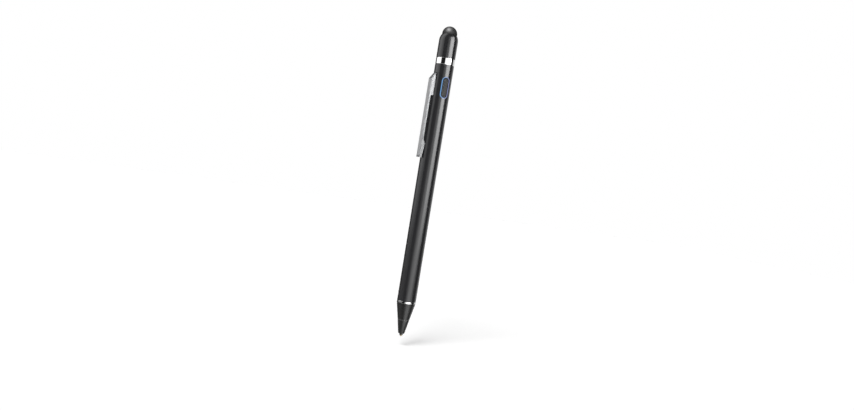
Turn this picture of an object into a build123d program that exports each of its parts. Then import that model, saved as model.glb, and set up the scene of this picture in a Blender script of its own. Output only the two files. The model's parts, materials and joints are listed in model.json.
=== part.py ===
from build123d import *

import os
from math import acos, asin, degrees, hypot, radians, sqrt, tan

# A stylus pen on its own axis: +Z runs from the nib to the rubber dome, the button faces -Y and the
# pocket clip faces -X. The origin is on the axis at the barrel's lower rim. Lengths are in millimetres.

# Fits and edges that all pieces share
glue_gap = 0.02  # radial room between pieces that are glued or pressed together
run_gap = 0.06  # radial room between pieces that slide or turn
seat_gap = 0.05  # room between end faces that come apart
edge_break = 0.1  # chamfer on the rims that show
overrun = 1.0  # how far a cut runs past the surface that it opens
round_limit_share = 0.3  # the most of a ring's length that a rounded rim takes

# Barrel
barrel_diameter = 10.0
barrel_wall = 0.6
barrel_length = 125.0

# Nose ring and grip cone
nose_ring_length = 1.1
nose_ring_round = 0.15
grip_cone_length = 9.0
grip_spigot_length = 10.0
seam_radius = 3.12

# Tip cone, its thread and the nib
tip_cone_length = 7.4
tip_end_radius = 1.67
tip_end_chamfer = 0.15
thread_diameter = 4.0
thread_length = 3.5
thread_relief = 0.2
nib_radius = 0.7
nib_reach = 1.55  # from the cone's end to the nib's point
nib_round = 0.55
nib_head_length = 2.4
nib_stem_radius = 0.5
nib_stem_grip = 3.3  # how far the stem goes into its socket
nib_collar_radius = 0.92
nib_collar_reach = 0.9  # from the cone's end to the collar's end
nib_collar_step = 3.2  # from the cone's end up to the shoulder that holds the collar
nib_collar_body_radius = 1.35
socket_radius = 1.5
socket_length = 12.4
socket_floor = 0.5  # room past the end of the nib's stem

# Battery and the lead beside it
battery_length = 50.0
battery_gap = 0.1
battery_edge = 0.4
lead_radius = 0.35
lead_channel = 1.0  # width left for the lead between the battery and the bore
lead_bend_radius = 2.0
lead_dip = 0.5  # how far inside the grip cone's spigot the lead starts to lean out
lead_tail = 2.0
tab_width = 1.5
tab_spacing = 2.9
tab_thickness = 0.15
tab_grip = 3.0

# Circuit board, what it carries and what carries it
board_side_room = 1.15  # from the board's edges to the bore
board_thickness = 0.8
board_gap = 2.0  # from the battery up to the board
board_seat = 0.3  # how much of the board's edge lies on the carrier
carrier_headroom = 8.0  # from the carrier up to the charging collar
chip_width = 3.6
chip_length = 4.6
chip_height = 0.9
chip_place_share = 0.28  # places along the run from the board's lower end to the switch
inductor_radius = 1.7
inductor_height = 1.5
inductor_place_share = 0.52
passive_width = 0.8
passive_length = 1.6
passive_height = 0.7
passive_pitch = 2.2
passive_rows = 3
passive_place_share = 0.8

# Power button, its light ring and its switch
button_below_rim = 11.9  # from the barrel's upper rim down to the button's centre
button_length = 9.77
button_width_share = 0.285  # of the barrel's diameter
button_gap = 0.3  # round the button in its light ring
button_bevel = 0.35
button_lip = 0.64
button_flange = 0.5
button_travel = 0.3
button_room = 0.2
light_ring_width = 0.45
light_ring_recess = 0.05
light_ring_lip = 0.5
light_ring_depth = 0.6  # how far the light ring's lip reaches inwards from the bore
switch_width = 3.0
switch_length = 4.0
plunger_radius = 0.7
plunger_grip_share = 0.4  # how much of the switch's height the plunger goes into
led_width = 1.2
led_length = 0.8
led_height = 0.5
led_place_share = 0.4  # of the button's length, either way from its centre

# Pocket clip
clip_root_below_rim = 4.9
clip_length = 44.4
clip_width = 3.8
clip_thickness = 0.5
clip_bend = 0.5
clip_slope_drop = 3.1  # height of the sloped top
clip_reach = 2.05  # from the barrel to the outer face
clip_gap = 0.1  # from the root and the cheeks' edges to the barrel
clip_cheek_length = 11.65
clip_cheek_round = 0.8
clip_flange_depth = 0.95
clip_bump_gap = 0.15
clip_bump_drop = 37.3  # from the root down to the bump
clip_bump_round = 0.6
clip_ramp_length = 2.6
clip_end_depth = 1.4
clip_end_round = 0.4
clip_tongue_width = 2.4
clip_tongue_lap = 0.4
clip_hook_reach = 0.85  # how far the tongue stands inside the bore
clip_hook_height = 1.2
clip_slot_width = 3.7
clip_slot_height = 3.5
clip_slot_room = 0.7  # from the tongue up to the slot's upper edge
clip_hook_room = 0.2

# Top ring, charging collar and socket
top_ring_length = 3.5
top_ring_round = 0.25
collar_headroom = 0.4  # from the light ring's lip up to the collar
collar_wall = 0.4
neck_length = 5.4
usb_side_wall = 0.3  # least wall of the neck beside the socket
usb_height = 2.35
usb_depth = 5.0
usb_sheet = 0.25
usb_bevel = 0.7
usb_recess = 0.1
usb_back_depth = 1.5
usb_tongue_length = 2.6
usb_tongue_width = 3.6
usb_tongue_thickness = 0.65
usb_contact_count = 5
usb_contact_pitch = 0.65
usb_contact_width = 0.35
usb_contact_thickness = 0.1

# Cap and rubber dome
cap_length = 12.4
cap_top_wall = 2.0
cap_shoulder_radius = 5.5
cap_top_radius = 3.92
dome_radius = 3.95
dome_height = 4.4
dome_wall = 1.0
dome_stem_radius = 1.5
dome_nut_radius = 3.0
dome_nut_thickness = 0.7

# Radii that follow from the barrel
barrel_radius = barrel_diameter / 2
bore_radius = barrel_radius - barrel_wall
spigot_radius = bore_radius - glue_gap
ring_bore_radius = spigot_radius + glue_gap
cap_bore_radius = spigot_radius + run_gap

# Heights of the nose, from the barrel's lower rim down
cone_top = -nose_ring_length
seam_height = cone_top - grip_cone_length
tip_top = seam_height - seat_gap
tip_end = seam_height - tip_cone_length
nib_end = tip_end - nib_reach
thread_radius = thread_diameter / 2
stub_top = tip_top + thread_length
socket_bottom = seam_height + thread_length + thread_relief
socket_top = socket_bottom + socket_length
stem_top = socket_bottom + nib_stem_grip
nib_head_top = nib_end + nib_head_length
collar_end = tip_end - nib_collar_reach
collar_step = tip_end + nib_collar_step

# Places of the lead, the battery and the board
lead_place = bore_radius - lead_channel / 2
lead_bend_run = lead_bend_radius * tan(radians(45) / 2)
lead_lean_start = grip_spigot_length - lead_dip
battery_radius = bore_radius - (battery_gap + lead_channel) / 2
battery_place = (lead_channel - battery_gap) / 2
battery_bottom = lead_lean_start + lead_place + lead_bend_run
battery_top = battery_bottom + battery_length
board_width = 2 * (bore_radius - board_side_room)
board_face = board_thickness / 2
board_bottom = battery_top + board_gap
lead_on_board = board_face + lead_radius

# Heights of the button, the clip, the collar and the cap
button_height = barrel_length - button_below_rim
button_width = button_width_share * barrel_diameter
ring_hole_length = button_length + 2 * button_gap
ring_hole_width = button_width + 2 * button_gap
ring_length = ring_hole_length + 2 * light_ring_width
ring_width = ring_hole_width + 2 * light_ring_width
light_ring_top = button_height + ring_length / 2 + light_ring_lip
clip_top = barrel_length - clip_root_below_rim
ring_top = barrel_length + top_ring_length
collar_bottom = light_ring_top + collar_headroom
neck_top = ring_top + neck_length
usb_back = neck_top - usb_recess - usb_depth
cap_base = ring_top + seat_gap
cap_top = cap_base + cap_length
board_length = usb_back - board_bottom
board_run = button_height - switch_length / 2 - board_bottom

# Places inwards from the button: the light ring's back, the button's flange and the switch
light_ring_back = spigot_radius - light_ring_depth
button_half_flange = button_width / 2 + button_lip
flange_front = sqrt(light_ring_back**2 - button_half_flange**2) - button_room
button_back = flange_front - button_flange
button_face = sqrt(barrel_radius**2 - (button_width / 2) ** 2)
switch_top = button_back - button_travel - button_room
switch_height = switch_top - board_face
plunger_grip = plunger_grip_share * switch_height

# Places of the clip, as distances from the axis and heights
clip_root = barrel_radius + clip_gap
clip_face = barrel_radius + clip_reach
clip_end = clip_top - clip_length
clip_shoulder = clip_top - clip_slope_drop
clip_bump = clip_top - clip_bump_drop
clip_slope = clip_slope_drop / (clip_face - clip_root)
clip_slope_sheet = clip_thickness * hypot(1, clip_slope)
clip_beside_barrel = sqrt(barrel_radius**2 - (clip_width / 2 - clip_thickness) ** 2)
clip_cheek_place = sqrt(barrel_radius**2 - (clip_width / 2) ** 2)
clip_bump_place = clip_beside_barrel + clip_bump_gap
clip_peak = clip_top + (clip_root - clip_cheek_place) * clip_slope
clip_tongue_top = clip_top - clip_tongue_lap * clip_slope
clip_tongue_middle = clip_tongue_top - clip_thickness / 2
clip_hook_place = bore_radius - clip_hook_reach
clip_hook_top = clip_tongue_top + clip_hook_height

standing = (Align.CENTER, Align.CENTER, Align.MIN)
hanging = (Align.CENTER, Align.CENTER, Align.MAX)

os.makedirs("parts", exist_ok=True)


def spun_face(*outline):
    """A face in the XZ plane through points given as distance from the axis and height."""
    with BuildSketch(Plane.XZ) as face:
        with BuildLine():
            Polyline(*outline, close=True)
        make_face()
    return face.sketch


def oblong_face(length, width, hole_length=0, hole_width=0):
    """An upright oblong at the button's height, with an oblong hole where one is given."""
    with BuildSketch(Plane.XZ) as face:
        with Locations((0, button_height)):
            SlotOverall(length, width, rotation=90)
            if hole_length:
                SlotOverall(hole_length, hole_width, rotation=90, mode=Mode.SUBTRACT)
    return face.sketch


# Barrel: a black tube with a window for the button and a slot for the clip's tongue
with BuildPart() as barrel:
    Cylinder(barrel_radius, barrel_length, align=standing)
    Cylinder(bore_radius, barrel_length, align=standing, mode=Mode.SUBTRACT)
    window = oblong_face(ring_length + 2 * glue_gap, ring_width + 2 * glue_gap)
    extrude(window, barrel_radius + overrun, mode=Mode.SUBTRACT)
    with Locations((0, 0, clip_tongue_top + clip_slot_room)):
        Box(
            barrel_radius + overrun,
            clip_slot_width,
            clip_slot_height,
            align=(Align.MAX, Align.CENTER, Align.MAX),
            mode=Mode.SUBTRACT,
        )
barrel.part.label = "barrel"
export_step(barrel.part, "parts/barrel.step")

# Nose ring: a thin bright ring on the grip cone's spigot
with BuildPart() as nose_ring:
    Cylinder(barrel_radius, nose_ring_length, align=hanging)
    rims = nose_ring.edges().filter_by(GeomType.CIRCLE)
    fillet(rims, min(nose_ring_round, round_limit_share * nose_ring_length))
    Cylinder(ring_bore_radius, nose_ring_length, align=hanging, mode=Mode.SUBTRACT)
nose_ring.part.label = "nose_ring"
export_step(nose_ring.part, "parts/nose_ring.step")

# Grip cone: the upper length of the cone, its spigot in the barrel and the thread for the tip cone
with BuildPart() as grip_cone:
    revolve(
        spun_face(
            (0, seam_height),
            (seam_radius, seam_height),
            (barrel_radius, cone_top),
            (spigot_radius, cone_top),
            (spigot_radius, grip_spigot_length),
            (0, grip_spigot_length),
        ),
        axis=Axis.Z,
    )
    chamfer(grip_cone.edges().filter_by(GeomType.CIRCLE).sort_by(Axis.Z)[0], edge_break)
    with Locations((0, 0, seam_height)):
        Cylinder(
            thread_radius + run_gap, socket_bottom - seam_height, align=standing, mode=Mode.SUBTRACT
        )
        Cylinder(
            socket_radius + glue_gap,
            grip_spigot_length - seam_height,
            align=standing,
            mode=Mode.SUBTRACT,
        )
grip_cone.part.label = "grip_cone"
export_step(grip_cone.part, "parts/grip_cone.step")

# Tip socket: a brass tube in the grip cone that takes the nib's stem
with BuildPart() as tip_socket:
    with Locations((0, 0, socket_bottom)):
        Cylinder(socket_radius, socket_length, align=standing)
        Cylinder(
            nib_stem_radius + run_gap,
            nib_stem_grip + socket_floor,
            align=standing,
            mode=Mode.SUBTRACT,
        )
tip_socket.part.label = "tip_socket"
export_step(tip_socket.part, "parts/tip_socket.step")

# Tip cone: the lower length of the cone, with a threaded stub and a stepped bore for the nib's collar
with BuildPart() as tip_cone:
    revolve(
        spun_face(
            (0, tip_end),
            (tip_end_radius, tip_end),
            (seam_radius, tip_top),
            (thread_radius, tip_top),
            (thread_radius, stub_top),
            (0, stub_top),
        ),
        axis=Axis.Z,
    )
    rims = tip_cone.edges().filter_by(GeomType.CIRCLE)
    chamfer(rims.sort_by(Axis.Z)[0], tip_end_chamfer)
    chamfer(rims.sort_by(SortBy.RADIUS)[-1], edge_break)
    with Locations((0, 0, tip_end)):
        Cylinder(nib_collar_radius + run_gap, nib_collar_step, align=standing, mode=Mode.SUBTRACT)
    with Locations((0, 0, collar_step)):
        Cylinder(
            nib_collar_body_radius + run_gap,
            stub_top - collar_step,
            align=standing,
            mode=Mode.SUBTRACT,
        )
tip_cone.part.label = "tip_cone"
export_step(tip_cone.part, "parts/tip_cone.step")

# Nib collar: a black sleeve that stands on the tip cone's inner shoulder
with BuildPart() as nib_collar:
    revolve(
        spun_face(
            (0, collar_end),
            (nib_collar_radius, collar_end),
            (nib_collar_radius, collar_step + seat_gap),
            (nib_collar_body_radius, collar_step + seat_gap),
            (nib_collar_body_radius, stub_top),
            (0, stub_top),
        ),
        axis=Axis.Z,
    )
    chamfer(nib_collar.edges().filter_by(GeomType.CIRCLE).sort_by(Axis.Z)[0], edge_break)
    with Locations((0, 0, collar_end)):
        Cylinder(
            nib_radius + glue_gap,
            nib_head_top + glue_gap - collar_end,
            align=standing,
            mode=Mode.SUBTRACT,
        )
        Cylinder(
            nib_stem_radius + glue_gap, stub_top - collar_end, align=standing, mode=Mode.SUBTRACT
        )
nib_collar.part.label = "nib_collar"
export_step(nib_collar.part, "parts/nib_collar.step")

# Nib: a rounded copper point and the stem that carries its signal
with BuildPart() as nib:
    with Locations((0, 0, nib_end)):
        Cylinder(nib_radius, nib_head_length, align=standing)
        fillet(nib.edges().filter_by(GeomType.CIRCLE).sort_by(Axis.Z)[0], min(nib_round, nib_radius))
        Cylinder(nib_stem_radius, stem_top - nib_end, align=standing)
nib.part.label = "nib"
export_step(nib.part, "parts/nib.step")

# Battery: a small round cell to one side of the bore, beside the lead
with BuildPart() as battery_cell:
    with Locations((0, battery_place, battery_bottom)):
        Cylinder(battery_radius, battery_length, align=standing)
    fillet(battery_cell.edges().filter_by(GeomType.CIRCLE), battery_edge)
battery_cell.part.label = "battery_cell"
export_step(battery_cell.part, "parts/battery_cell.step")

# Battery tabs: two strips from the cell to the board
with BuildPart() as battery_tabs:
    with Locations((0, -board_face - tab_thickness / 2, battery_top)):
        with GridLocations(tab_spacing, 0, 2, 1):
            Box(tab_width, tab_thickness, board_gap + tab_grip, align=standing)
battery_tabs.part.label = "battery_tabs"
export_step(battery_tabs.part, "parts/battery_tabs.step")

# Battery pad: a foam disc between the grip cone's spigot and the cell, slit for the lead
with BuildPart() as battery_pad:
    with Locations((0, 0, grip_spigot_length)):
        Cylinder(bore_radius - battery_gap, battery_bottom - grip_spigot_length, align=standing)
    with Locations((0, lead_channel, grip_spigot_length)):
        Box(
            lead_channel,
            lead_channel + barrel_radius,
            battery_bottom - grip_spigot_length,
            align=(Align.CENTER, Align.MAX, Align.MIN),
            mode=Mode.SUBTRACT,
        )
battery_pad.part.label = "battery_pad"
export_step(battery_pad.part, "parts/battery_pad.step")

# Drive lead: a wire from the tip socket, past the cell, to the board's face
lead_lean_end = lead_lean_start + lead_place
lead_return_start = battery_top + lead_bend_run
lead_return_end = lead_return_start + lead_place - lead_on_board
with BuildPart() as drive_lead:
    with BuildLine(Plane.YZ):
        FilletPolyline(
            (0, socket_top),
            (0, lead_lean_start),
            (-lead_place, lead_lean_end),
            (-lead_place, lead_return_start),
            (-lead_on_board, lead_return_end),
            (-lead_on_board, lead_return_end + lead_tail),
            radius=lead_bend_radius,
        )
    with BuildSketch(Plane.XY.offset(socket_top)):
        Circle(lead_radius)
    sweep()
drive_lead.part.label = "drive_lead"
export_step(drive_lead.part, "parts/drive_lead.step")

# Circuit board: a long strip on edge to the button, from above the cell to the charging socket
with BuildPart() as circuit_board:
    with Locations((0, 0, board_bottom)):
        Box(board_width, board_thickness, board_length, align=standing)
    with Locations((-clip_hook_place + clip_hook_room, 0, clip_tongue_middle)):
        Box(
            bore_radius,
            board_thickness,
            2 * (clip_hook_height + clip_thickness),
            align=(Align.MAX, Align.CENTER, Align.CENTER),
            mode=Mode.SUBTRACT,
        )
circuit_board.part.label = "circuit_board"
export_step(circuit_board.part, "parts/circuit_board.step")

# Board carrier: a half shell in the barrel whose rims carry the board
carrier_radius = hypot(board_width / 2 - board_seat, board_face)
carrier_top = collar_bottom - carrier_headroom
with BuildPart() as board_carrier:
    with BuildSketch(Plane.XY.offset(battery_top)):
        Circle(spigot_radius)
        Circle(carrier_radius, mode=Mode.SUBTRACT)
        with Locations((0, board_face)):
            Rectangle(
                barrel_diameter,
                barrel_diameter,
                align=(Align.CENTER, Align.MAX),
                mode=Mode.SUBTRACT,
            )
    extrude(amount=carrier_top - battery_top)
board_carrier.part.label = "board_carrier"
export_step(board_carrier.part, "parts/board_carrier.step")

# Control chip: a flat package on the board's face
with BuildPart() as control_chip:
    with BuildSketch(Plane.XZ.offset(board_face)):
        with Locations((0, board_bottom + chip_place_share * board_run)):
            Rectangle(chip_width, chip_length)
    extrude(amount=chip_height)
    chamfer(control_chip.faces().sort_by(Axis.Y)[0].edges(), edge_break)
control_chip.part.label = "control_chip"
export_step(control_chip.part, "parts/control_chip.step")

# Boost inductor: a round drum on the board's face
with BuildPart() as boost_inductor:
    with BuildSketch(Plane.XZ.offset(board_face)):
        with Locations((0, board_bottom + inductor_place_share * board_run)):
            Circle(inductor_radius)
    extrude(amount=inductor_height)
    chamfer(boost_inductor.faces().sort_by(Axis.Y)[0].edges(), edge_break)
boost_inductor.part.label = "boost_inductor"
export_step(boost_inductor.part, "parts/boost_inductor.step")

# Board passives: two columns of small chips on the board's face
with BuildPart() as board_passives:
    with BuildSketch(Plane.XZ.offset(board_face)):
        with Locations((0, board_bottom + passive_place_share * board_run)):
            with GridLocations(passive_pitch, passive_pitch, 2, passive_rows):
                Rectangle(passive_width, passive_length)
    extrude(amount=passive_height)
board_passives.part.label = "board_passives"
export_step(board_passives.part, "parts/board_passives.step")

# Status lights: two small lamps behind the light ring
with BuildPart() as status_leds:
    with BuildSketch(Plane.XZ.offset(board_face)):
        with Locations((0, button_height)):
            with GridLocations(0, 2 * led_place_share * button_length, 1, 2):
                Rectangle(led_width, led_length)
    extrude(amount=led_height)
status_leds.part.label = "status_leds"
export_step(status_leds.part, "parts/status_leds.step")

# Switch body: a push switch on the board, with a bore for its plunger
with BuildPart() as switch_body:
    with BuildSketch(Plane.XZ.offset(board_face)):
        with Locations((0, button_height)):
            Rectangle(switch_width, switch_length)
    extrude(amount=switch_height)
    with BuildSketch(Plane.XZ.offset(switch_top)):
        with Locations((0, button_height)):
            Circle(plunger_radius + run_gap)
    extrude(amount=-(plunger_grip + button_travel), mode=Mode.SUBTRACT)
switch_body.part.label = "switch_body"
export_step(switch_body.part, "parts/switch_body.step")

# Switch plunger: the pin between the switch and the button
with BuildPart() as switch_plunger:
    with BuildSketch(Plane.XZ.offset(button_back)):
        with Locations((0, button_height)):
            Circle(plunger_radius)
    extrude(amount=-(button_back - switch_top + plunger_grip - seat_gap))
switch_plunger.part.label = "switch_plunger"
export_step(switch_plunger.part, "parts/switch_plunger.step")

# Power button: an oblong key with a flange that the light ring holds in
with BuildPart() as button_cap:
    extrude(oblong_face(button_length, button_width), button_face)
    chamfer(button_cap.faces().sort_by(Axis.Y)[0].edges(), button_bevel)
    extrude(
        oblong_face(button_length + 2 * button_lip, button_width + 2 * button_lip), flange_front
    )
    with Locations((0, -button_back, button_height)):
        Box(
            barrel_diameter,
            barrel_diameter,
            button_length + barrel_diameter,
            align=(Align.CENTER, Align.MIN, Align.CENTER),
            mode=Mode.SUBTRACT,
        )
button_cap.part.label = "button_cap"
export_step(button_cap.part, "parts/button_cap.step")

# Light ring: a clear oblong frame in the barrel's window, with a lip inside the bore
with BuildPart() as light_ring:
    extrude(
        oblong_face(
            ring_length + 2 * light_ring_lip,
            ring_width + 2 * light_ring_lip,
            ring_hole_length,
            ring_hole_width,
        ),
        barrel_radius,
    )
    with Locations((0, 0, button_height)):
        Cylinder(spigot_radius, ring_length + barrel_diameter, mode=Mode.INTERSECT)
    extrude(oblong_face(ring_length, ring_width, ring_hole_length, ring_hole_width), barrel_radius)
    with Locations((0, 0, button_height)):
        Cylinder(
            barrel_radius - light_ring_recess, ring_length + barrel_diameter, mode=Mode.INTERSECT
        )
        Cylinder(light_ring_back, ring_length + barrel_diameter, mode=Mode.SUBTRACT)
light_ring.part.label = "light_ring"
export_step(light_ring.part, "parts/light_ring.step")

# Pocket clip: one folded strip with a flat face, two side flanges, a bump near its end and a hooked tongue
clip_ramp_top = clip_bump + clip_ramp_length
clip_cheek_bottom = clip_top - clip_cheek_length
clip_fold_height = clip_shoulder + clip_thickness * clip_slope - clip_slope_sheet


def clip_front(inset):
    """The clip's outline from the front, straight up to the shoulder and then tapered to the tongue."""
    half_width = clip_width / 2 - inset
    half_root = clip_tongue_width / 2 - inset
    with BuildSketch(Plane.YZ) as face:
        with BuildLine():
            Polyline(
                (-half_width, clip_end),
                (half_width, clip_end),
                (half_width, clip_shoulder),
                (half_root, clip_peak),
                (-half_root, clip_peak),
                (-half_width, clip_shoulder),
                close=True,
            )
        make_face()
    return face.sketch


with BuildPart() as clip_channel:
    channel = spun_face(
        (0, clip_peak - clip_slope_sheet),
        (-clip_cheek_place, clip_peak - clip_slope_sheet),
        (-clip_face + clip_thickness, clip_fold_height),
        (-clip_face + clip_thickness, clip_end),
        (0, clip_end),
    )
    extrude(channel, clip_width / 2, both=True)
    extrude(clip_front(clip_thickness), -clip_face, mode=Mode.INTERSECT)
with BuildPart() as clip:
    with BuildSketch(Plane.XZ) as blank:
        with BuildLine():
            Polyline(
                (-clip_cheek_place, clip_peak),
                (-clip_face, clip_shoulder),
                (-clip_face, clip_end),
                (-clip_face + clip_end_depth, clip_end),
                (-clip_bump_place, clip_bump),
                (-clip_face + clip_flange_depth, clip_ramp_top),
                (-clip_face + clip_flange_depth, clip_cheek_bottom),
                (-clip_cheek_place, clip_cheek_bottom),
                close=True,
            )
        make_face()
        corners = blank.vertices()
        notch = (-clip_face + clip_flange_depth, clip_cheek_bottom)
        fillet(corners.sort_by_distance(notch)[0], clip_cheek_round)
        fillet(corners.sort_by_distance((-clip_bump_place, clip_bump))[0], clip_bump_round)
        fillet(corners.sort_by_distance((-clip_face, clip_end))[0], clip_end_round)
    extrude(amount=clip_width / 2, both=True)
    extrude(clip_front(0), -clip_face, mode=Mode.INTERSECT)
    folds = ShapeList()
    for side in (-1, 1):
        slope_middle = (
            -(clip_cheek_place + clip_face) / 2,
            side * (clip_width + clip_tongue_width) / 4,
            (clip_peak + clip_shoulder) / 2,
        )
        face_middle = (-clip_face, side * clip_width / 2, (clip_shoulder + clip_end) / 2)
        folds.append(clip.edges().sort_by_distance(slope_middle)[0])
        folds.append(clip.edges().sort_by_distance(face_middle)[0])
    fillet(folds, clip_bend)
    add(clip_channel.part, mode=Mode.SUBTRACT)
    with Locations((0, 0, clip_top)):
        Cylinder(clip_root, clip_length, mode=Mode.SUBTRACT)
    with Locations((-clip_hook_place, 0, clip_tongue_middle)):
        Box(
            clip_root + clip_tongue_lap - clip_hook_place,
            clip_tongue_width,
            clip_thickness,
            align=(Align.MAX, Align.CENTER, Align.CENTER),
        )
    with Locations((-clip_hook_place, 0, clip_tongue_middle)):
        Box(
            clip_thickness,
            clip_tongue_width,
            clip_hook_top - clip_tongue_middle,
            align=(Align.MAX, Align.CENTER, Align.MIN),
        )
clip.part.label = "clip"
export_step(clip.part, "parts/clip.step")

# Top ring: the wide bright ring between the barrel and the cap
with BuildPart() as top_ring:
    with Locations((0, 0, barrel_length)):
        Cylinder(barrel_radius, top_ring_length, align=standing)
    rims = top_ring.edges().filter_by(GeomType.CIRCLE)
    fillet(rims, min(top_ring_round, round_limit_share * top_ring_length))
    with Locations((0, 0, barrel_length)):
        Cylinder(ring_bore_radius, top_ring_length, align=standing, mode=Mode.SUBTRACT)
top_ring.part.label = "top_ring"
export_step(top_ring.part, "parts/top_ring.step")

# Half widths of the charging socket, as large as the neck's wall leaves room for
usb_half_height = usb_height / 2
usb_half_width = sqrt((spigot_radius - usb_side_wall) ** 2 - usb_half_height**2)


def usb_face(height, room):
    """The socket's outline, wide on one side and bevelled on the other, grown by some room."""
    with BuildSketch(Plane.XY.offset(height)) as face:
        with BuildLine():
            Polyline(
                (-usb_half_width, usb_half_height),
                (usb_half_width, usb_half_height),
                (usb_half_width, usb_bevel - usb_half_height),
                (usb_half_width - usb_bevel, -usb_half_height),
                (usb_bevel - usb_half_width, -usb_half_height),
                (-usb_half_width, usb_bevel - usb_half_height),
                close=True,
            )
        make_face()
        offset(amount=room, kind=Kind.INTERSECTION)
    return face.sketch


# Charging collar: a sleeve in the barrel and the ring, with a neck for the cap and a pocket for the socket
with BuildPart() as charging_collar:
    with Locations((0, 0, collar_bottom)):
        Cylinder(spigot_radius, neck_top - collar_bottom, align=standing)
    chamfer(charging_collar.edges().filter_by(GeomType.CIRCLE).sort_by(Axis.Z)[-1], edge_break)
    with Locations((0, 0, collar_bottom)):
        Cylinder(
            spigot_radius - collar_wall, usb_back - collar_bottom, align=standing, mode=Mode.SUBTRACT
        )
    extrude(usb_face(usb_back, glue_gap), usb_depth + overrun, mode=Mode.SUBTRACT)
    with Locations((-clip_hook_place + clip_hook_room, 0, clip_tongue_middle)):
        Box(
            barrel_radius,
            clip_tongue_width + 2 * clip_hook_room,
            2 * (clip_hook_height + clip_thickness + clip_hook_room),
            align=(Align.MAX, Align.CENTER, Align.CENTER),
            mode=Mode.SUBTRACT,
        )
charging_collar.part.label = "charging_collar"
export_step(charging_collar.part, "parts/charging_collar.step")

# Charging socket: a folded metal shell
with BuildPart() as usb_shell:
    extrude(usb_face(usb_back, 0), usb_depth)
    extrude(usb_face(usb_back, -usb_sheet), usb_depth, mode=Mode.SUBTRACT)
usb_shell.part.label = "usb_shell"
export_step(usb_shell.part, "parts/usb_shell.step")

# Socket tongue: the insulator that fills the shell's back and carries the contacts
with BuildPart() as usb_tongue:
    extrude(usb_face(usb_back, -usb_sheet - glue_gap), usb_back_depth)
    with Locations((0, 0, usb_back)):
        Box(
            usb_tongue_width,
            usb_tongue_thickness,
            usb_back_depth + usb_tongue_length,
            align=standing,
        )
usb_tongue.part.label = "usb_tongue"
export_step(usb_tongue.part, "parts/usb_tongue.step")

# Socket contacts: a row of strips on the tongue
with BuildPart() as usb_contacts:
    with Locations((0, -usb_tongue_thickness / 2, usb_back + usb_back_depth)):
        with GridLocations(usb_contact_pitch, 0, usb_contact_count, 1):
            Box(
                usb_contact_width,
                usb_contact_thickness,
                usb_tongue_length - usb_contact_width,
                align=(Align.CENTER, Align.MAX, Align.MIN),
            )
usb_contacts.part.label = "usb_contacts"
export_step(usb_contacts.part, "parts/usb_contacts.step")

# Cap: a tube with a rounded shoulder and a hole in its top for the dome's stem
shoulder_inset = barrel_radius - cap_top_radius
shoulder_turn = acos((cap_shoulder_radius - shoulder_inset) / cap_shoulder_radius)
shoulder_rise = sqrt(cap_shoulder_radius**2 - (cap_shoulder_radius - shoulder_inset) ** 2)
cap_bore_top = cap_top - cap_top_wall
with BuildPart() as cap_shell:
    with BuildSketch(Plane.XZ):
        with BuildLine():
            Polyline(
                (0, cap_top),
                (0, cap_base),
                (barrel_radius, cap_base),
                (barrel_radius, cap_top - shoulder_rise),
            )
            shoulder = JernArc(
                (barrel_radius, cap_top - shoulder_rise),
                (0, 1),
                cap_shoulder_radius,
                degrees(shoulder_turn),
            )
            Line(shoulder @ 1, (0, cap_top))
        make_face()
    revolve(axis=Axis.Z)
    chamfer(cap_shell.edges().filter_by(GeomType.CIRCLE).sort_by(Axis.Z)[0], edge_break)
    with Locations((0, 0, cap_base)):
        Cylinder(cap_bore_radius, cap_bore_top - cap_base, align=standing, mode=Mode.SUBTRACT)
        Cylinder(dome_stem_radius + glue_gap, cap_length, align=standing, mode=Mode.SUBTRACT)
cap_shell.part.label = "cap_shell"
export_step(cap_shell.part, "parts/cap_shell.step")

dome_middle = cap_top + dome_height - dome_radius


def dome_face(radius):
    """Half the section of a ball on the dome's centre, cut off flat at the cap's top."""
    dip = asin((dome_middle - cap_top) / radius)
    with BuildSketch(Plane.XZ) as face:
        with BuildLine():
            ball = CenterArc((0, dome_middle), radius, -degrees(dip), 90 + degrees(dip))
            Polyline(ball @ 1, (0, cap_top), ball @ 0)
        make_face()
    return face.sketch


# Dome core: a rounded head on the cap with a stem through the cap's top
core_radius = dome_radius - dome_wall
stem_bottom = cap_bore_top - dome_nut_thickness
with BuildPart() as dome_core:
    revolve(dome_face(core_radius), axis=Axis.Z)
    with Locations((0, 0, stem_bottom)):
        Cylinder(dome_stem_radius, dome_middle - stem_bottom, align=standing)
dome_core.part.label = "dome_core"
export_step(dome_core.part, "parts/dome_core.step")

# Dome nut: a washer pressed on the stem, under the cap's top
with BuildPart() as dome_nut:
    with Locations((0, 0, cap_bore_top)):
        Cylinder(dome_nut_radius, dome_nut_thickness, align=hanging)
        Cylinder(dome_stem_radius + glue_gap, dome_nut_thickness, align=hanging, mode=Mode.SUBTRACT)
dome_nut.part.label = "dome_nut"
export_step(dome_nut.part, "parts/dome_nut.step")

# Rubber dome: a soft hollow ball over the core
with BuildPart() as rubber_dome:
    revolve(dome_face(dome_radius), axis=Axis.Z)
    revolve(dome_face(core_radius + glue_gap), axis=Axis.Z, mode=Mode.SUBTRACT)
rubber_dome.part.label = "rubber_dome"
export_step(rubber_dome.part, "parts/rubber_dome.step")
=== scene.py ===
import json
from math import atan, cos, degrees, pi, radians, sin

import bpy
from mathutils import Matrix, Vector


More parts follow.
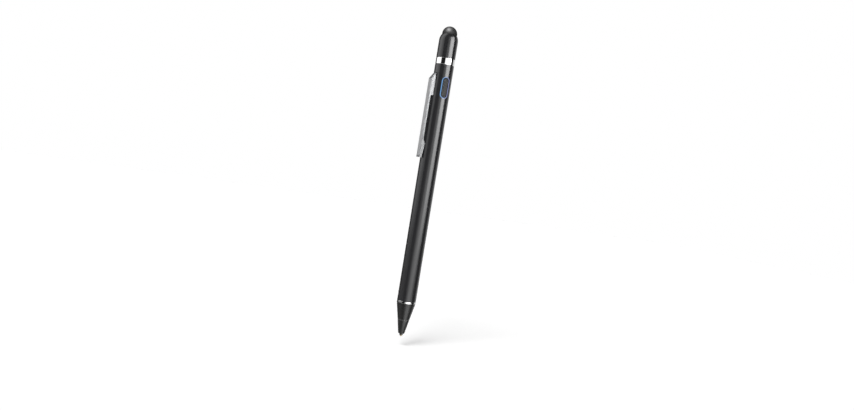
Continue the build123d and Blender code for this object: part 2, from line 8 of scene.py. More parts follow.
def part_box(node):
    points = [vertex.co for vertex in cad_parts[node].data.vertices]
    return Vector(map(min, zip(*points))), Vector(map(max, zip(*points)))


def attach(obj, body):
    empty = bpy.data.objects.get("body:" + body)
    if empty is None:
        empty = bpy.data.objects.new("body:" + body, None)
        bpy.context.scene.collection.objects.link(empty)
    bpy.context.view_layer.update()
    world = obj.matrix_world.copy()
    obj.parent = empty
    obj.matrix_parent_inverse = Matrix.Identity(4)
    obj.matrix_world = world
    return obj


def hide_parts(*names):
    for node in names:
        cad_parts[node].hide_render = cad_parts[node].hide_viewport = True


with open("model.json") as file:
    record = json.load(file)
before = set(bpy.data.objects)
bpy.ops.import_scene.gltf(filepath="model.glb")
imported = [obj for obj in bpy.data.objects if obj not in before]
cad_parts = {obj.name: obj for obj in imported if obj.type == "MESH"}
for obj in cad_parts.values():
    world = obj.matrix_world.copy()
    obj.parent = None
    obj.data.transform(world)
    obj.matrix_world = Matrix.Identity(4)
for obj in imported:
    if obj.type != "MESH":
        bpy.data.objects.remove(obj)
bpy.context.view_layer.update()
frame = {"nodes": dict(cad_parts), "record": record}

MM = 0.001
X, Y, Z = range(3)


def lowest(node, axis):
    """How low a solid reaches along an axis, in millimetres."""
    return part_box(node)[0][axis] / MM


def highest(node, axis):
    """How high a solid reaches along an axis, in millimetres."""
    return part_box(node)[1][axis] / MM


# Places that the solids' boxes give, in millimetres
BARREL_RADIUS = highest("barrel", X)
BARREL_FOOT = lowest("barrel", Z)
BARREL_TOP = highest("barrel", Z)
CAP_BASE = lowest("cap_shell", Z)
CAP_TOP = highest("cap_shell", Z)
DOME_TOP = highest("rubber_dome", Z)
BUTTON_HEIGHT = (lowest("button_cap", Z) + highest("button_cap", Z)) / 2
SEAM_HEIGHT = lowest("grip_cone", Z)
TIP_END = lowest("tip_cone", Z)
STUB_TOP = highest("tip_cone", Z)
CLIP_FACE = -lowest("clip", X)
CLIP_HALF_WIDTH = highest("clip", Y)
CLIP_END = lowest("clip", Z)

# Lengths of the solids that their boxes don't give, in millimetres
DOME_RADIUS = 3.95
DOME_WALL = 0.98
LIGHT_RING_RECESS = 0.05
SEAM_RADIUS = 3.12
SEAM_GAP = 0.05
EDGE_BREAK = 0.1
TIP_RADIUS = 1.67
TIP_CHAMFER = 0.15
COLLAR_BORE = 0.98
COLLAR_BODY_BORE = 1.41
COLLAR_STEP_RISE = 3.2  # from the cone's end up to the step in its bore
CLIP_SHEET = 0.5
CLIP_SHOULDER = 117.0
CLIP_SLOPE_DROP = 3.1
CLIP_SLOPE_RUN = 1.95

# The thread on the tip cone's stub, which is plain in the solid, in millimetres
THREAD_RADIUS = 2.0
THREAD_ROOT = 1.72
THREAD_PITCH = 0.7
THREAD_TURNS = 4
THREAD_FOOT_SHARE = 0.86  # of the pitch, taken by the foot of one turn
WIRE_HEIGHT = 1.5  # of the three-cornered wire that is wound, in distances from its middle to a corner
WIRE_SUNK = 0.1  # how much of that height sinks into the stub

# The painted shade on the barrel beside the clip's slot, in millimetres
SLOT_EDGE = 2.38  # half its width
SLOT_FOOT = 116.3
SLOT_HEAD = 120.25
SLOT_FADE = 0.1

# Heights between which painted shade darkens the clip's sides, in millimetres
CLIP_SIDE_SHADE_TOP = (121, 115)
CLIP_SIDE_SHADE_LOWER = (104, 84)

# How finely pieces are modelled
DOME_POINTS = 128
ROUND_STEPS = 96
THREAD_STEPS = 48
SMOOTH_ANGLE = radians(30)
SAME_PLACE = 1e-6  # metres within which two points are in one place
SAME_RADIUS = 1e-5  # metres within which two points are as far from the axis
WELD = 0.02  # millimetres within which points of the bore are joined
END_FACE = 0.9  # how far a face's normal goes along the axis, at least, on a piece's end


# Shader maths

# Places of sockets on their nodes
DIRECTION, OBJECT_PLACE = 0, 3  # out of Texture Coordinate
CAMERA_RAY, GLOSSY_RAY, THROUGH_RAY = 0, 3, 6  # out of Light Path
SHARE, FIRST_COLOUR, SECOND_COLOUR = 0, 6, 7  # into Mix
MIXED_COLOUR = 2  # out of Mix


class Wire:
    """A socket that gives a value. Sums, products and the like of it add Math nodes to its tree."""

    def __init__(self, tree, socket):
        self.tree = tree
        self.socket = socket

    def __add__(self, other):
        return self.tree.maths("ADD", self, other)

    def __radd__(self, other):
        return self.tree.maths("ADD", other, self)

    def __sub__(self, other):
        return self.tree.maths("SUBTRACT", self, other)

    def __rsub__(self, other):
        return self.tree.maths("SUBTRACT", other, self)

    def __mul__(self, other):
        return self.tree.maths("MULTIPLY", self, other)

    def __rmul__(self, other):
        return self.tree.maths("MULTIPLY", other, self)

    def __abs__(self):
        return self.tree.maths("ABSOLUTE", self)

    def larger(self, other):
        return self.tree.maths("MAXIMUM", self, other)

    def swing(self, width):
        """Noise that lies round 0.5 as a number round 0, up to half the width either way."""
        return (self - 0.5) * width

    def ease(self, start, end):
        """0 at the start, 1 at the end and a smooth change between; the start may be the larger number."""
        settings = {"interpolation_type": "SMOOTHSTEP"}
        sockets = {"Value": self, "From Min": start, "From Max": end}
        return self.tree.node("ShaderNodeMapRange", settings, sockets)[0]


class Tree:
    """The nodes of one material or of the world."""

    def __init__(self, owner):
        owner.use_nodes = True
        self.wiring = owner.node_tree
        self.wiring.nodes.clear()

    def node(self, kind, settings, sockets):
        """Adds one node, sets it up, fills its sockets with values or links and gives its outputs."""
        made = self.wiring.nodes.new(kind)
        for name, value in settings.items():
            setattr(made, name, value)
        for name, value in sockets.items():
            if isinstance(value, Wire):
                self.wiring.links.new(value.socket, made.inputs[name])
            else:
                made.inputs[name].default_value = value
        return [Wire(self, socket) for socket in made.outputs]

    def maths(self, operation, *values):
        return self.node("ShaderNodeMath", {"operation": operation}, dict(enumerate(values)))[0]

    def place(self):
        """The point on the piece, in millimetres, as one vector."""
        where = self.node("ShaderNodeTexCoord", {}, {})[OBJECT_PLACE]
        return self.node("ShaderNodeVectorMath", {"operation": "SCALE"}, {0: where, "Scale": 1 / MM})[0]

    def parts(self, vector):
        return self.node("ShaderNodeSeparateXYZ", {}, {"Vector": vector})

    def noise(self, vector, scale, detail=2.0, pace=(1, 1, 1)):
        """Soft noise round 0.5, with so many grains to the millimetre.
        A small pace along an axis draws the grains out that way."""
        if pace != (1, 1, 1):
            vector = self.node("ShaderNodeMapping", {}, {"Vector": vector, "Scale": pace})[0]
        return self.node("ShaderNodeTexNoise", {}, {"Vector": vector, "Scale": scale, "Detail": detail})[0]

    def cells(self, vector, scale):
        """How far a point is from the middle of its cell, with so many cells to the millimetre."""
        return self.node("ShaderNodeTexVoronoi", {}, {"Vector": vector, "Scale": scale})[0]

    def blend(self, share, first, second):
        """The first colour where the share is 0, the second where it is 1."""
        sockets = {SHARE: share, FIRST_COLOUR: first, SECOND_COLOUR: second}
        return self.node("ShaderNodeMix", {"data_type": "RGBA"}, sockets)[MIXED_COLOUR]

    def bump(self, height, strength, depth):
        sockets = {"Height": height, "Strength": strength, "Distance": depth * MM}
        return self.node("ShaderNodeBump", {}, sockets)[0]

    def surface(self, sockets):
        """Ends a material with one main shader."""
        shader = self.node("ShaderNodeBsdfPrincipled", {}, sockets)[0]
        self.node("ShaderNodeOutputMaterial", {}, {"Surface": shader})


def new_finish(name):
    material = bpy.data.materials.new(name)
    return material, Tree(material)


def grey(level):
    return (level, level, level, 1)


# Paces of noise for marks along the pen and round it
DRAWN_LONG = (1, 1, 0.02)
TURNED_ROUND = (0.02, 0.02, 1)


# Finishes that show


def black_anodised(name, low_rim, high_rim):
    """Satin black tube: an etched grain, drawn lines, finger marks, worn rims and painted shade beside the
    clip's slot.
    """
    material, tree = new_finish(name)
    place = tree.place()
    x, y, height = tree.parts(place)
    grain = tree.noise(place, 9, detail=3)
    drawn = tree.noise(place, 5, pace=DRAWN_LONG)
    marks = tree.noise(place, 0.11, detail=4).ease(0.5, 0.75)
    past_rim = (low_rim - height).larger(height - high_rim)
    worn = past_rim.ease(-0.2, -0.02) * tree.noise(place, 1.3, detail=4).ease(0.5, 0.68)
    # Painted shade: beside the clip's slot the tube turns black and dull, as the gap by the clip is in
    # shade.
    beside_slot = abs(y).ease(SLOT_EDGE, SLOT_EDGE - SLOT_FADE) * x.ease(0, -1)
    over_foot = height.ease(SLOT_FOOT - SLOT_FADE, SLOT_FOOT)
    under_head = height.ease(SLOT_HEAD + SLOT_FADE, SLOT_HEAD)
    dull = beside_slot * over_foot * under_head
    colour = tree.blend(grain, (0.024, 0.024, 0.026, 1), (0.03, 0.03, 0.032, 1))
    worn_colour = tree.blend(worn * 0.5, colour, (0.16, 0.16, 0.165, 1))
    tree.surface({
        "Base Color": tree.blend(dull, worn_colour, grey(0.006)),
        "Metallic": dull,
        "Roughness": 0.15 + grain.swing(0.05) + drawn.swing(0.07) + marks * 0.03 + dull * 0.4,
        "IOR": 1.52,
        "Normal": tree.bump(grain + drawn, 0.12, 0.004),
    })
    return material


def bright_chrome(name, lustre):
    """Polished plating with turning marks round it and faint smudges."""
    material, tree = new_finish(name)
    place = tree.place()
    turned = tree.noise(place, 14, pace=TURNED_ROUND)
    smudge = tree.noise(place, 0.6, detail=4).ease(0.45, 0.8)
    tree.surface({
        "Base Color": tree.blend(smudge, grey(lustre), grey(lustre * 0.93)),
        "Metallic": 1.0,
        "Roughness": 0.035 + smudge * 0.03 + turned.swing(0.02),
        "Normal": tree.bump(turned, 0.02, 0.003),
    })
    return material


def satin_steel():
    """Brushed along the clip's length and finely scratched, with painted shade on its bends and sides."""
    material, tree = new_finish("satin_steel")
    place = tree.place()
    x, y, height = tree.parts(place)
    depth = x + CLIP_FACE
    over_slope = CLIP_SLOPE_RUN * (height - CLIP_SHOULDER) - CLIP_SLOPE_DROP * depth
    # Painted shade: darker colour on the sloped top, on the bend at the lower end and along the clip's
    # sides.
    top_bend_shade = over_slope.ease(-0.5, -0.2)
    end_bend_shade = (height - CLIP_END).ease(1.1, 0.7) * depth.ease(CLIP_SHEET, 0.2)
    side = (CLIP_HALF_WIDTH - abs(y)).ease(0.25, 0.1)
    rub_wear_and_side_shade = side * (0.17 * height.ease(*CLIP_SIDE_SHADE_TOP) + 0.25 * height.ease(*CLIP_SIDE_SHADE_LOWER))
    brushed = tree.noise(place, 14, detail=3, pace=(1, 1, 0.015))
    bloom = tree.noise(place, 0.25, detail=3)
    scratch = tree.noise(place, 3.5, detail=1, pace=(1, 1, 0.06)).ease(0.72, 0.78)
    colour = tree.blend(brushed, (0.51, 0.515, 0.525, 1), (0.59, 0.595, 0.605, 1))
    colour_with_painted_shade = tree.blend(rub_wear_and_side_shade + top_bend_shade.larger(end_bend_shade) * 0.5, colour, grey(0.02))
    tree.surface({
        "Base Color": tree.blend(scratch * 0.5, colour_with_painted_shade, (0.72, 0.72, 0.73, 1)),
        "Metallic": 0.7,
        "Roughness": 0.72 + brushed.swing(0.16) + bloom.swing(0.1),
        "Normal": tree.bump(brushed, 0.15, 0.006),
    })
    return material


def cone_black(name, rough, ior):
    """Satin black of the cone: a fine grain, and a painted highlight on the rims at the seam, paler and
    partly metallic.
    """
    material, tree = new_finish(name)
    place = tree.place()
    height = tree.parts(place)[Z]
    pits = tree.noise(place, 11, detail=3)
    rub_wear_and_side_shade = tree.noise(place, 0.35, detail=4).ease(0.55, 0.75)
    # Painted highlight: near the seam the rims turn paler and partly metallic in patches.
    near_seam = abs(height - SEAM_HEIGHT).ease(0.34, 0.12)
    painted_seam_highlight = near_seam * tree.noise(place, 0.9, detail=3).ease(0.2, 0.6)
    colour = tree.blend(pits, grey(0.02), grey(0.026))
    tree.surface({
        "Base Color": tree.blend(painted_seam_highlight, colour, grey(0.16)),
        "Metallic": painted_seam_highlight * 0.6,
        "Roughness": rough + pits.swing(0.1) - rub_wear_and_side_shade * 0.04,
        "IOR": ior,
        "Normal": tree.bump(pits, 0.15, 0.006),
    })
    return material


def moulded_black(name, level, rough, grain_size):
    """Dark plastic from a spark-eroded mould, with a few shinier spots worn by rubbing."""
    material, tree = new_finish(name)
    place = tree.place()
    pits = tree.noise(place, grain_size, detail=3)
    rub_wear_and_side_shade = tree.noise(place, 0.35, detail=4).ease(0.55, 0.75)
    tree.surface({
        "Base Color": tree.blend(pits, grey(level * 0.9), grey(level * 1.1)),
        "Roughness": rough + pits.swing(0.1) - rub_wear_and_side_shade * 0.04,
        "IOR": 1.42,
        "Normal": tree.bump(pits, 0.15, 0.006),
    })
    return material


def dome_rubber():
    """Smooth rubber, a little metallic from what makes it conduct: a dull bloom and fine pores."""
    material, tree = new_finish("dome_rubber")
    place = tree.place()
    pores = tree.noise(place, 16)
    bloom = tree.noise(place, 0.7, detail=4).ease(0.4, 0.8)
    tree.surface({
        "Base Color": tree.blend(bloom, grey(0.026), grey(0.031)),
        "Metallic": 0.3,
        "Roughness": 0.53 + bloom * 0.03 + pores.swing(0.06),
        "IOR": 1.1,
        "Specular Tint": grey(0),
        "Normal": tree.bump(pores, 0.08, 0.005),
    })
    return material


def light_guide():
    """Clear plastic lit from behind: blue on the clip's side, violet on the other, greyer at the ends."""
    material, tree = new_finish("light_guide")
    sky_blue = (0.036, 0.21, 0.47, 1)
    violet = (0.18, 0.185, 0.38, 1)
    grey_blue = (0.065, 0.095, 0.195, 1)
    unlit_side = (0.012, 0.014, 0.02, 1)
    milky_face = (0.16, 0.2, 0.28, 1)
    place = tree.place()
    x, y, height = tree.parts(place)
    flow = tree.noise(place, 0.8, detail=3)
    aside = (x + flow.swing(0.5)).ease(-1.8, 1.9)
    ends = abs(height - BUTTON_HEIGHT).ease(3.8, 6.0)
    lit = tree.blend(ends * 0.6, tree.blend(aside, sky_blue, violet), grey_blue)
    radius = tree.maths("SQRT", x * x + y * y)
    depth = BARREL_RADIUS - LIGHT_RING_RECESS - radius
    on_face = depth.ease(0.06, 0.01)
    tree.surface({
        "Base Color": tree.blend(on_face, unlit_side, milky_face),
        "Roughness": 0.3 + flow.swing(0.1),
        "IOR": 1.35,
        "Emission Color": tree.blend(on_face, grey(0), lit),
        "Emission Strength": 0.9,
    })
    return material


def copper_tip():
    """Turned copper, with fine rings round it and a darker tarnish."""
    material, tree = new_finish("copper_tip")
    place = tree.place()
    turned = tree.noise(place, 30, pace=TURNED_ROUND)
    tarnish = tree.noise(place, 2.5, detail=4).ease(0.45, 0.75)
    tree.surface({
        "Base Color": tree.blend(tarnish, (0.5, 0.44, 0.315, 1), (0.39, 0.31, 0.2, 1)),
        "Metallic": 1.0,
        "Roughness": 0.47 + turned.swing(0.12) + tarnish * 0.08,
        "Normal": tree.bump(turned, 0.15, 0.005),
    })
    return material


# Finishes inside the pen


def plated(name, colour, rough):
    """Stamped or turned metal with soft streaks along it and a duller bloom."""
    material, tree = new_finish(name)
    place = tree.place()
    streaks = tree.noise(place, 10, detail=3, pace=(1, 1, 0.1))
    bloom = tree.noise(place, 1.2, detail=3)
    dull = tuple(part * 0.78 for part in colour)
    tree.surface({
        "Base Color": tree.blend(bloom.ease(0.4, 0.75), (*colour, 1), (*dull, 1)),
        "Metallic": 1.0,
        "Roughness": rough + streaks.swing(0.12),
        "Normal": tree.bump(streaks, 0.1, 0.004),
    })
    return material


def plain_plastic(name, colour, rough, grain_size, grain_depth):
    """Moulded or coated plastic with a fine texture and slightly uneven colour."""
    material, tree = new_finish(name)
    place = tree.place()
    pits = tree.noise(place, grain_size, detail=3)
    cloud = tree.noise(place, 0.5, detail=3)
    deep = tuple(part * 0.8 for part in colour)
    tree.surface({
        "Base Color": tree.blend(cloud, (*deep, 1), (*colour, 1)),
        "Roughness": rough + pits.swing(0.12),
        "Normal": tree.bump(pits, 0.2, grain_depth),
    })
    return material


def board_green():
    """Green solder mask over copper tracks that run along the board, with tinned pads."""
    material, tree = new_finish("board_green")
    place = tree.place()
    x = tree.parts(place)[X]
    lane = x + tree.noise(place, 0.12, detail=1, pace=(0.2, 0.2, 1)) * 3.0
    track = tree.maths("PINGPONG", lane, 0.45).ease(0.26, 0.32)
    pad = tree.cells(place, 0.45).ease(0.2, 0.17)
    mask = tree.blend(track, (0.012, 0.11, 0.045, 1), (0.03, 0.2, 0.085, 1))
    tree.surface({
        "Base Color": tree.blend(pad, mask, (0.6, 0.6, 0.58, 1)),
        "Metallic": pad,
        "Roughness": 0.34 + tree.noise(place, 6).swing(0.1),
        "Normal": tree.bump(track + pad, 0.4, 0.02),
    })
    return material


def pad_foam():
    """Closed-cell foam: round cells of several sizes."""
    material, tree = new_finish("foam")
    cells = tree.cells(tree.place(), 3.5)
    tree.surface({
        "Base Color": tree.blend(cells, grey(0.035), grey(0.085)),
        "Roughness": 0.8 + cells * 0.15,
        "Normal": tree.bump(cells, 0.6, 0.08),
    })
    return material


finishes = {
    "bright_chrome": bright_chrome("bright_chrome", lustre=0.93),
    "cone_black": cone_black("cone_black", rough=0.265, ior=1.5),
    "collar_black": moulded_black("collar_black", level=0.014, rough=0.36, grain_size=9),
    "button_grey": moulded_black("button_grey", level=0.067, rough=0.75, grain_size=10),
    "light_guide": light_guide(),
    "satin_steel": satin_steel(),
    "nickel_sheet": plated("nickel_sheet", (0.66, 0.65, 0.62), rough=0.3),
    "copper_tip": copper_tip(),
    "brass": plated("brass", (0.75, 0.6, 0.3), rough=0.25),
    "dome_rubber": dome_rubber(),
    "board_green": board_green(),
    "chip_black": plain_plastic("chip_black", (0.03, 0.03, 0.03), 0.5, 9, 0.01),
    "ceramic_tan": plain_plastic("ceramic_tan", (0.45, 0.33, 0.2), 0.45, 7, 0.01),
    "battery_sleeve": plain_plastic("battery_sleeve", (0.12, 0.2, 0.45), 0.25, 0.8, 0.05),
    "foam": pad_foam(),
    "carrier_grey": plain_plastic("carrier_grey", (0.25, 0.25, 0.26), 0.45, 8, 0.01),
    "lead_red": plain_plastic("lead_red", (0.5, 0.03, 0.03), 0.3, 3, 0.01),
    "led_clear": plain_plastic("led_clear", (0.8, 0.85, 0.9), 0.15, 4, 0.005),
    "white_plastic": plain_plastic("white_plastic", (0.8, 0.8, 0.78), 0.4, 8, 0.01),
}
UNDER_DOME = 1  # puts the cap's upper rim, which the dome covers, out of the wear's reach
node_finishes = {
    "barrel": black_anodised("barrel_anodised", BARREL_FOOT, BARREL_TOP),
    "cap_shell": black_anodised("cap_anodised", CAP_BASE, CAP_TOP + UNDER_DOME),
    "nose_ring": bright_chrome("soft_chrome", lustre=0.7),
    "tip_cone": cone_black("tip_black", rough=0.33, ior=1.45),
}


def finish_for(node, slot):
    """A node's own finish where it has one, or else its slot's."""
    return node_finishes.get(node) or finishes[slot]


for part in frame["record"]["subparts"]:
    node_slot = frame["nodes"][part["node"]].material_slots[0]
    node_slot.material = finish_for(part["node"], part["material_slot"])


# Modelled pieces


def start_piece():
    bpy.ops.object.select_all(action="DESELECT")


def pick(mode, wanted):
    """Selects the vertices, edges or faces that the rule takes, and leaves edit mode on."""
    bpy.ops.object.mode_set(mode="OBJECT")
    mesh = bpy.context.object.data
    for everything in (mesh.vertices, mesh.edges, mesh.polygons):
        everything.foreach_set("select", [False] * len(everything))
    kinds = {"VERT": mesh.vertices, "EDGE": mesh.edges, "FACE": mesh.polygons}
    bpy.context.tool_settings.mesh_select_mode = [kind == mode for kind in kinds]
    for element in kinds[mode]:
        element.select = bool(wanted(element))
    bpy.ops.object.mode_set(mode="EDIT")


def apply_place():
    """Puts the piece's place, turn and scale into its mesh."""
    bpy.ops.object.transform_apply(location=True, rotation=True, scale=True)


def end_piece(name, body, slot, replaced):
    """Names the finished piece, gives it its finish and lets it ride in place of its solid."""
    bpy.ops.object.mode_set(mode="OBJECT")
    apply_place()
    piece = bpy.context.object
    piece.name = name
    piece.data.name = name
    piece.data.materials.clear()
    piece.data.materials.append(finish_for(replaced, slot))
    bpy.ops.object.shade_smooth_by_angle(angle=SMOOTH_ANGLE)
    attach(piece, body)
    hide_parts(replaced)
    return piece


def make_dome():
    """The rubber dome: half a ring spun into a cup and thickened inwards."""
    start_piece()
    bpy.ops.mesh.primitive_circle_add(
        vertices=DOME_POINTS,
        radius=DOME_RADIUS * MM,
        location=(0, 0, (DOME_TOP - DOME_RADIUS) * MM),
        rotation=(pi / 2, 0, 0),
    )
    apply_place()
    bpy.ops.object.mode_set(mode="EDIT")
    bpy.ops.mesh.select_all(action="SELECT")
    bpy.ops.mesh.bisect(plane_co=(0, 0, CAP_TOP * MM), plane_no=(0, 0, 1), clear_inner=True)
    pick("VERT", lambda vertex: vertex.co.x < -SAME_PLACE)
    bpy.ops.mesh.delete(type="VERT")
    bpy.ops.mesh.select_all(action="SELECT")
    bpy.ops.mesh.spin(steps=ROUND_STEPS, angle=2 * pi, center=(0, 0, 0), axis=(0, 0, 1))
    bpy.ops.mesh.select_all(action="SELECT")
    bpy.ops.mesh.remove_doubles(threshold=SAME_PLACE)
    bpy.ops.mesh.normals_make_consistent(inside=False)
    bpy.ops.object.mode_set(mode="OBJECT")
    wall = bpy.context.object.modifiers.new("wall", "SOLIDIFY")
    wall.thickness = DOME_WALL * MM
    wall.offset = -1
    bpy.ops.object.modifier_apply(modifier="wall")
    return end_piece("rubber_dome_skin", "cap", "dome_rubber", "rubber_dome")


def raise_face(height):
    """Draws the selected face out, up or down, by so many millimetres."""
    bpy.ops.mesh.extrude_region_move(TRANSFORM_OT_translate={"value": (0, 0, height * MM)})


def inset_face(before, after):
    """Sets a ring into the selected round face, from one radius to the next."""
    bpy.ops.mesh.inset(thickness=(before - after) * MM)


def wind_thread(start):
    """The thread: a three-cornered wire wound up the stub, from the height of its first turn."""
    start_piece()
    corner = THREAD_FOOT_SHARE * THREAD_PITCH / 3 ** 0.5
    flatten = (THREAD_RADIUS - THREAD_ROOT) / ((WIRE_HEIGHT - WIRE_SUNK) * corner)
    middle = THREAD_RADIUS - flatten * corner
    bpy.ops.mesh.primitive_circle_add(
        vertices=3,
        radius=corner * MM,
        location=(middle * MM, 0, start * MM),
        rotation=(pi / 2, pi / 2, 0),
    )
    wire = bpy.context.object
    wire.scale = (1, flatten, 1)
    apply_place()
    winding = wire.modifiers.new("winding", "SCREW")
    winding.axis = "Z"
    winding.screw_offset = THREAD_PITCH * MM
    winding.iterations = THREAD_TURNS
    winding.steps = THREAD_STEPS
    winding.render_steps = THREAD_STEPS
    bpy.ops.object.modifier_apply(modifier="winding")
    bpy.ops.object.mode_set(mode="EDIT")
    bpy.ops.mesh.select_all(action="SELECT")
    bpy.ops.mesh.fill_holes(sides=3)
    bpy.ops.mesh.select_all(action="SELECT")
    bpy.ops.mesh.normals_make_consistent(inside=False)
    bpy.ops.object.mode_set(mode="OBJECT")
    return wire


def make_tip_cone():
    """The cone's screw-off length: a cone drawn up into a stub, bored through and given its thread."""
    tip_top = SEAM_HEIGHT - SEAM_GAP
    collar_step = TIP_END + COLLAR_STEP_RISE
    thread = wind_thread(tip_top + THREAD_PITCH / 2)
    start_piece()
    bpy.ops.mesh.primitive_cone_add(
        vertices=ROUND_STEPS,
        radius1=TIP_RADIUS * MM,
        radius2=SEAM_RADIUS * MM,
        depth=(tip_top - TIP_END) * MM,
        location=(0, 0, (tip_top + TIP_END) / 2 * MM),
    )
    apply_place()
    cone = bpy.context.object
    pick("FACE", lambda face: face.normal.z > END_FACE)
    inset_face(SEAM_RADIUS, THREAD_ROOT)
    raise_face(STUB_TOP - tip_top)
    inset_face(THREAD_ROOT, COLLAR_BODY_BORE)
    raise_face(collar_step - STUB_TOP)
    inset_face(COLLAR_BODY_BORE, COLLAR_BORE)
    raise_face(TIP_END - collar_step)
    bpy.ops.mesh.delete(type="FACE")
    pick("FACE", lambda face: face.normal.z < -END_FACE)
    inset_face(TIP_RADIUS, COLLAR_BORE)
    bpy.ops.mesh.delete(type="FACE")
    bpy.ops.mesh.select_all(action="SELECT")
    bpy.ops.mesh.remove_doubles(threshold=WELD * MM)

    def on_rim(edge, radius, height):
        ends = [cone.data.vertices[index].co for index in edge.vertices]
        level = all(abs(end.z - height * MM) < SAME_PLACE for end in ends)
        return level and all(abs(end.xy.length - radius * MM) < SAME_RADIUS for end in ends)

    pick("EDGE", lambda edge: on_rim(edge, SEAM_RADIUS, tip_top))
    bpy.ops.mesh.bevel(offset=EDGE_BREAK * MM, segments=2)
    pick("EDGE", lambda edge: on_rim(edge, TIP_RADIUS, TIP_END))
    bpy.ops.mesh.bevel(offset=TIP_CHAMFER * MM, segments=3)
    bpy.ops.object.mode_set(mode="OBJECT")
    union = cone.modifiers.new("thread", "BOOLEAN")
    union.operation = "UNION"
    union.object = thread
    bpy.ops.object.modifier_apply(modifier="thread")
    bpy.data.objects.remove(thread)
    return end_piece("threaded_tip_cone", "tip_cone", "cone_black", "tip_cone")


dome = make_dome()
make_tip_cone()


# Camera: square to the pen's axis, a little to the clip's side, and rolled so that the pen leans
PHOTO_WIDTH = 854
PHOTO_FOCUS = 840  # focal length in pixels of the picture
SENSOR = 36  # width of the camera's sensor, in millimetres
NEAREST = 10 * MM  # how near to the camera a thing still shows
VIEW_TURN = radians(-25)
VIEW_LEAN = radians(9.217)
VIEW_DISTANCE = 441 * MM
VIEW_HEIGHT = 68.4 * MM
VIEW_ASIDE = -0.12 * MM
VIEW_RISE = 32.52  # how far above the picture's middle the camera's own height shows, in pixels

towards_camera = Vector((sin(VIEW_TURN), -cos(VIEW_TURN), 0))
across = Vector((cos(VIEW_TURN), sin(VIEW_TURN), 0))
upwards = Vector((0, 0, 1))


def set_up_camera():
    lens = bpy.data.cameras.new("photo_camera")
    lens.sensor_width = SENSOR
    lens.lens = PHOTO_FOCUS / PHOTO_WIDTH * SENSOR
    lens.clip_start = NEAREST
    camera = bpy.data.objects.new("photo_camera", lens)
    bpy.context.scene.collection.objects.link(camera)
    level = Matrix((across, upwards, towards_camera)).transposed()
    rolled = Matrix.Rotation(VIEW_LEAN, 3, "Z")
    lowered = Matrix.Rotation(-atan(VIEW_RISE / PHOTO_FOCUS), 3, "X")
    stand = towards_camera * VIEW_DISTANCE + across * VIEW_ASIDE + upwards * VIEW_HEIGHT
    camera.matrix_world = Matrix.Translation(stand) @ (level @ rolled @ lowered).to_4x4()
    bpy.context.scene.camera = camera


# Studio: turns go from the camera towards the picture's right, and rises go up from the level
SOFT_LIGHT = 0.45
KEY_LIGHT = 1.6
KEY_SIZE = radians(22)
KEY_TURN = radians(-27)
KEY_RISE = radians(50)
DOME_LIGHT = 57
DOME_LIGHT_SIZE = radians(30)
DOME_LIGHT_TURN = radians(-34)
DOME_LIGHT_RISE = radians(57)
FLOOR_SIZE = 3
FLOOR_HEIGHT = -24.4 * MM
FLOOR_WHITE = 0.8
FLOOR_GLOW = 0.36

# How bright the things are that shiny surfaces show
DARK_ROOM = 0.012
LEFT_WALL = 1.05
LEFT_LAMP = 0.75
PALE_WALL = 1.1
BRIGHT_STRIP = 8.9
LOW_GLOW = 2.4
REAR_WALL = 0.7


def light_room(turn, rise):
    """What shiny surfaces show of the studio, by turn and rise in degrees."""
    high = rise.ease(-9, 8)
    foot = rise.ease(-6.5, -1)
    growing = rise.ease(-1, 8)

    # On the clip's side, a wall with a soft lamp on it
    left_wall = LEFT_WALL * turn.ease(-47, -54) * turn.ease(-136, -102)
    left_lamp = LEFT_LAMP * turn.ease(-56, -90) * turn.ease(-130, -95)
    left_height = 0.15 + 0.85 * foot * (0.6 + 0.4 * growing)
    left = (left_wall + left_lamp) * left_height

    # On the other side, a pale wall, a bright strip that ends with it, and a glow low down
    wall_end = (turn - 0.25 * rise + 3.5 * rise.ease(9, -4)).ease(74, 67)
    pale_wall = PALE_WALL * turn.ease(-3, 3) * wall_end
    strip = BRIGHT_STRIP * turn.ease(18, 38) * wall_end
    strip_height = foot * (0.5 + 0.5 * growing) * (1 - 0.25 * rise.ease(10, 22))
    low_turn = turn - 9 * rise.ease(-12, -20)
    low_glow = LOW_GLOW * low_turn.ease(-26, 22) * low_turn.ease(80, 26)
    under_ceiling = rise.ease(50, 38)
    right = (1 - high) * low_glow + (high * pale_wall + strip * strip_height) * under_ceiling

    # Behind the pen, a wall, and far below, a white ground
    rear = REAR_WALL * (turn.ease(102, 125) + turn.ease(-150, -165)) * rise.ease(40, 15)
    ground = rise.ease(-36, -58)
    return DARK_ROOM + (left + right + rear) * (1 - ground) + ground


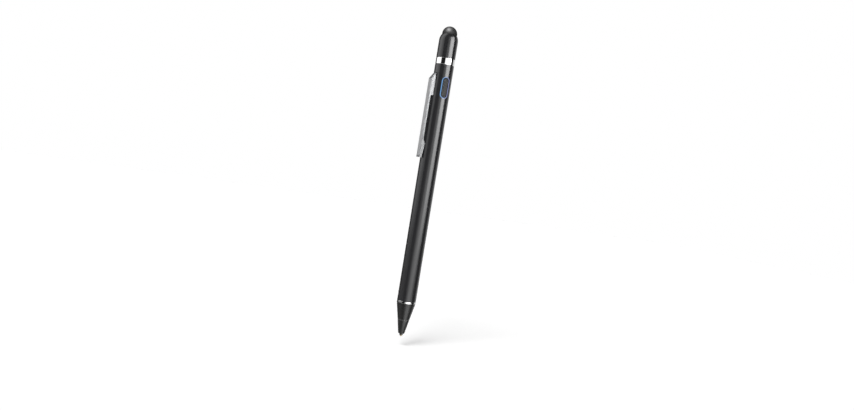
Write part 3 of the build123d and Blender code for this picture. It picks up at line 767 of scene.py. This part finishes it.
def set_up_world():
    """A white room for the camera, an even light, and a dark room with lit walls for shiny surfaces."""
    world = bpy.data.worlds.new("studio")
    bpy.context.scene.world = world
    tree = Tree(world)
    direction = tree.node("ShaderNodeTexCoord", {}, {})[DIRECTION]
    east, north, up = tree.parts(direction)
    ahead = east * towards_camera.x + north * towards_camera.y
    aside = east * across.x + north * across.y
    turn = tree.maths("ARCTAN2", aside, ahead) * degrees(1)
    rise = tree.maths("ARCSINE", up) * degrees(1)
    room = light_room(turn, rise)
    rays = tree.node("ShaderNodeLightPath", {}, {})
    seen = rays[CAMERA_RAY].larger(rays[THROUGH_RAY])
    shiny = rays[GLOSSY_RAY]
    level = seen + (1 - seen) * (shiny * room + (1 - shiny) * SOFT_LIGHT)
    background = tree.node("ShaderNodeBackground", {}, {"Color": grey(1), "Strength": level})[0]
    tree.node("ShaderNodeOutputWorld", {}, {"Surface": background})


def add_far_lamp(name, strength, size, turn, rise):
    """A far lamp, as wide as its size in the sky, whose light comes from that turn and rise."""
    sun = bpy.data.lights.new(name, "SUN")
    sun.energy = strength
    sun.angle = size
    lamp = bpy.data.objects.new(name, sun)
    bpy.context.scene.collection.objects.link(lamp)
    level = towards_camera * cos(turn) + across * sin(turn)
    to_lamp = level * cos(rise) + upwards * sin(rise)
    lamp.rotation_mode = "QUATERNION"
    lamp.rotation_quaternion = to_lamp.to_track_quat("Z", "Y")
    return lamp


def set_up_lamps():
    """The main lamp, which no surface mirrors, and a soft one whose shine only the rubber dome shows."""
    key = add_far_lamp("key_light", KEY_LIGHT, KEY_SIZE, KEY_TURN, KEY_RISE)
    key.visible_glossy = False
    shine = add_far_lamp("dome_light", DOME_LIGHT, DOME_LIGHT_SIZE, DOME_LIGHT_TURN, DOME_LIGHT_RISE)
    shine.visible_diffuse = False
    receivers = bpy.data.collections.new("dome_light_receivers")
    receivers.objects.link(dome)
    shine.light_linking.receiver_collection = receivers


def set_up_floor():
    """A white floor that keeps the shadow; its glow for the camera lifts it to the white of the room."""
    start_piece()
    bpy.ops.mesh.primitive_plane_add(size=FLOOR_SIZE, location=(0, 0, FLOOR_HEIGHT))
    floor = bpy.context.object
    floor.name = "floor"
    paper, tree = new_finish("white_paper")
    camera_ray = tree.node("ShaderNodeLightPath", {}, {})[CAMERA_RAY]
    diffuse = tree.node("ShaderNodeBsdfDiffuse", {}, {"Color": grey(FLOOR_WHITE)})[0]
    glow = tree.node("ShaderNodeEmission", {}, {"Color": grey(1), "Strength": camera_ray * FLOOR_GLOW})[0]
    both = tree.node("ShaderNodeAddShader", {}, {0: diffuse, 1: glow})[0]
    tree.node("ShaderNodeOutputMaterial", {}, {"Surface": both})
    floor.data.materials.append(paper)
    floor.visible_glossy = False


set_up_camera()
set_up_world()
set_up_lamps()
set_up_floor()
bpy.context.scene.view_settings.view_transform = "Standard"
